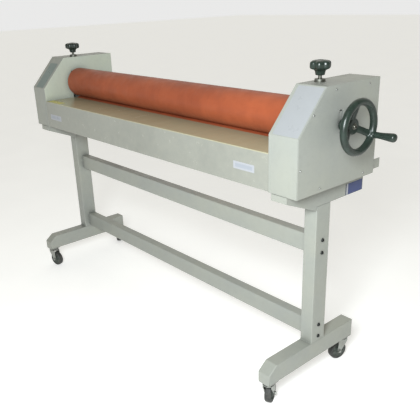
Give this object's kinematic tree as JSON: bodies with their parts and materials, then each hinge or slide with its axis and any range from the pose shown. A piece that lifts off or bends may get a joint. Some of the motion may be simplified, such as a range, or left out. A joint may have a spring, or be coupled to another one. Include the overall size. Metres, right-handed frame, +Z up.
{
  "type": "cold roll laminator",
  "caption": "Wide manual cold laminator: two rubber rollers between sheet housings, screw-down knobs, crank handwheel, feed tables and a wheeled stand.",
  "frame": {"origin": "middle of the overall box, on the floor", "axes": "+X along the rollers towards the handwheel, -Y towards the operator at the front table, +Z up"},
  "size_m": [1.916, 0.52, 1.176],
  "materials": {
    "paint": "satin warm grey paint",
    "table_paint": "smooth beige-grey satin paint",
    "steel": "turned and ground steel",
    "zinc": "bright zinc plating",
    "black_steel": "black oxide finish",
    "spring_steel": "dark oiled spring steel",
    "silicone": "ground matt silicone rubber",
    "black_plastic": "moulded phenolic plastic, slight gloss",
    "tyre": "hard moulded rubber"
  },
  "bodies": {
    "frame": {"foot_left": "paint", "column_left": "paint", "head_bracket_left": "paint", "rail_bolt_left_1": "black_steel", "rail_bolt_left_2": "black_steel", "rail_bolt_left_3": "black_steel", "rail_bolt_left_4": "black_steel", "foot_right": "paint", "column_right": "paint", "head_bracket_right": "paint", "rail_bolt_right_1": "black_steel", "rail_bolt_right_2": "black_steel", "rail_bolt_right_3": "black_steel", "rail_bolt_right_4": "black_steel", "rail_lower": "paint", "rail_upper": "paint", "caster_plate_front_left": "zinc", "caster_plate_front_right": "zinc", "caster_plate_rear_left": "zinc", "caster_plate_rear_right": "zinc", "side_plate_left": "paint", "shroud_left": "paint", "side_cover_left": "paint", "screw_bridge_left": "steel", "film_bracket_left": "paint", "side_plate_right": "paint", "shroud_right": "paint", "side_cover_right": "paint", "screw_bridge_right": "steel", "film_bracket_right": "paint", "table_front": "table_paint", "table_rear": "table_paint", "lower_block_left": "steel", "lower_bearing_left": "steel", "lower_block_right": "steel", "lower_bearing_right": "steel"},
    "roller_carriage": {"upper_block_left": "steel", "upper_bearing_left": "steel", "pressure_spring_left": "spring_steel", "upper_block_right": "steel", "upper_bearing_right": "steel", "pressure_spring_right": "spring_steel"},
    "knob_left": {"pressure_screw_left": "zinc", "pressure_knob_left": "black_plastic"},
    "knob_right": {"pressure_screw_right": "zinc", "pressure_knob_right": "black_plastic"},
    "upper_roller": {"upper_roller_core": "steel", "upper_roller_cover": "silicone", "handwheel": "black_plastic"},
    "crank_handle": {"crank_grip": "black_plastic"},
    "lower_roller": {"lower_roller_core": "steel", "lower_roller_cover": "silicone"},
    "swivel_front_left": {"caster_fork_front_left": "zinc"},
    "wheel_front_left": {"caster_wheel_front_left": "tyre"},
    "swivel_front_right": {"caster_fork_front_right": "zinc"},
    "wheel_front_right": {"caster_wheel_front_right": "tyre"},
    "swivel_rear_left": {"caster_fork_rear_left": "zinc"},
    "wheel_rear_left": {"caster_wheel_rear_left": "tyre"},
    "swivel_rear_right": {"caster_fork_rear_right": "zinc"},
    "wheel_rear_right": {"caster_wheel_rear_right": "tyre"}
  },
  "joints": [
    {"name": "carriage_lift", "type": "slide", "parent": "frame", "child": "roller_carriage", "axis": [0, 0, 1], "range_m": [0, 0.018]},
    {"name": "knob_right_turn", "type": "hinge", "parent": "roller_carriage", "child": "knob_right", "pos_m": [0.715, 0.012, 1.13], "axis": [0, 0, 1], "range_deg": [0, 2160]},
    {"name": "knob_left_turn", "type": "hinge", "parent": "roller_carriage", "child": "knob_left", "pos_m": [-0.871, 0.012, 1.13], "axis": [0, 0, 1], "range_deg": [0, 2160]},
    {"name": "upper_roller_turn", "type": "hinge", "parent": "roller_carriage", "child": "upper_roller", "pos_m": [-0.078, 0.012, 0.9825], "axis": [1, 0, 0], "continuous": true},
    {"name": "crank_handle_turn", "type": "hinge", "parent": "upper_roller", "child": "crank_handle", "pos_m": [0.922, 0.0824, 0.94892], "axis": [1, 0, 0], "continuous": true},
    {"name": "lower_roller_turn", "type": "hinge", "parent": "frame", "child": "lower_roller", "pos_m": [-0.078, 0.012, 0.8425], "axis": [1, 0, 0], "continuous": true},
    {"name": "swivel_front_left_turn", "type": "hinge", "parent": "frame", "child": "swivel_front_left", "pos_m": [-0.8915, -0.234, 0.087], "axis": [0, 0, 1], "continuous": true},
    {"name": "wheel_front_left_turn", "type": "hinge", "parent": "swivel_front_left", "child": "wheel_front_left", "pos_m": [-0.87194, -0.22984, 0.03718], "axis": [0.2079, -0.9781, 0], "continuous": true},
    {"name": "swivel_front_right_turn", "type": "hinge", "parent": "frame", "child": "swivel_front_right", "pos_m": [0.7355, -0.234, 0.087], "axis": [0, 0, 1], "continuous": true},
    {"name": "wheel_front_right_turn", "type": "hinge", "parent": "swivel_front_right", "child": "wheel_front_right", "pos_m": [0.72673, -0.21602, 0.03718], "axis": [0.8988, 0.4384, 0], "continuous": true},
    {"name": "swivel_rear_left_turn", "type": "hinge", "parent": "frame", "child": "swivel_rear_left", "pos_m": [-0.8915, 0.191, 0.087], "axis": [0, 0, 1], "continuous": true},
    {"name": "wheel_rear_left_turn", "type": "hinge", "parent": "swivel_rear_left", "child": "wheel_rear_left", "pos_m": [-0.90682, 0.20386, 0.03718], "axis": [0.6428, 0.766, 0], "continuous": true},
    {"name": "swivel_rear_right_turn", "type": "hinge", "parent": "frame", "child": "swivel_rear_right", "pos_m": [0.7355, 0.191, 0.087], "axis": [0, 0, 1], "continuous": true},
    {"name": "wheel_rear_right_turn", "type": "hinge", "parent": "swivel_rear_right", "child": "wheel_rear_right", "pos_m": [0.73032, 0.17168, 0.03718], "axis": [-0.9659, 0.2588, 0], "continuous": true}
  ],
  "couplings": [
    {"joint": "knob_right_turn", "follows": "carriage_lift", "rad_per_m": 2094.4},
    {"joint": "knob_left_turn", "follows": "carriage_lift", "rad_per_m": 2094.4},
    {"joint": "lower_roller_turn", "follows": "upper_roller_turn", "ratio": -1}
  ]
}
